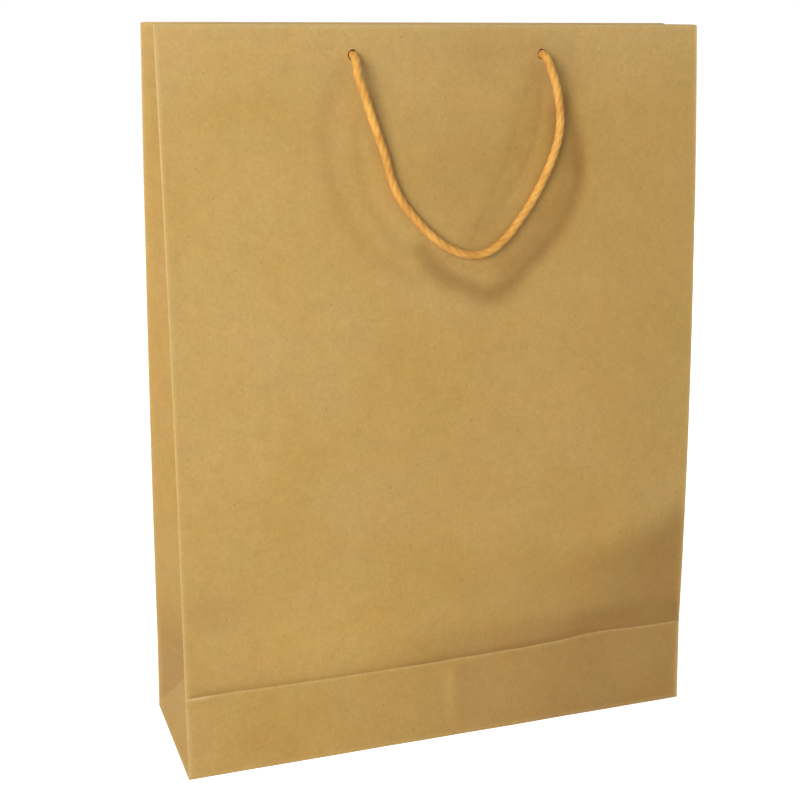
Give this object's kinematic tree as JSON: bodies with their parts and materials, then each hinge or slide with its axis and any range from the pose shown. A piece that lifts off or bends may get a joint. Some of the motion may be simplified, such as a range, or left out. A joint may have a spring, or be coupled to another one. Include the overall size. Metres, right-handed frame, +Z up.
{
  "type": "kraft paper carrier bag",
  "caption": "Upright brown kraft paper carrier bag with a block bottom, side gussets, a turned-in top and a knotted cord handle hanging at the front.",
  "frame": {"origin": "centre of the bag's footprint, on the floor that it stands on", "axes": "+Z up, +X to the right across the front panel, -Y out of the front panel, which carries the cord handle"},
  "size_m": [0.305, 0.091, 0.402],
  "materials": {
    "bag_body": "uncoated brown kraft paper, slightly mottled",
    "front_top_strip": "uncoated grey-brown card",
    "back_top_strip": "uncoated grey-brown card",
    "base_board": "uncoated brown board",
    "handle_cord": "twisted orange-tan cord with a slight sheen",
    "left_knot": "twisted orange-tan cord with a slight sheen",
    "right_knot": "twisted orange-tan cord with a slight sheen"
  },
  "bodies": {
    "root": {"bag_body": "bag_body", "front_top_strip": "front_top_strip", "back_top_strip": "back_top_strip", "base_board": "base_board", "handle_cord": "handle_cord", "left_knot": "left_knot", "right_knot": "right_knot"}
  },
  "joints": []
}
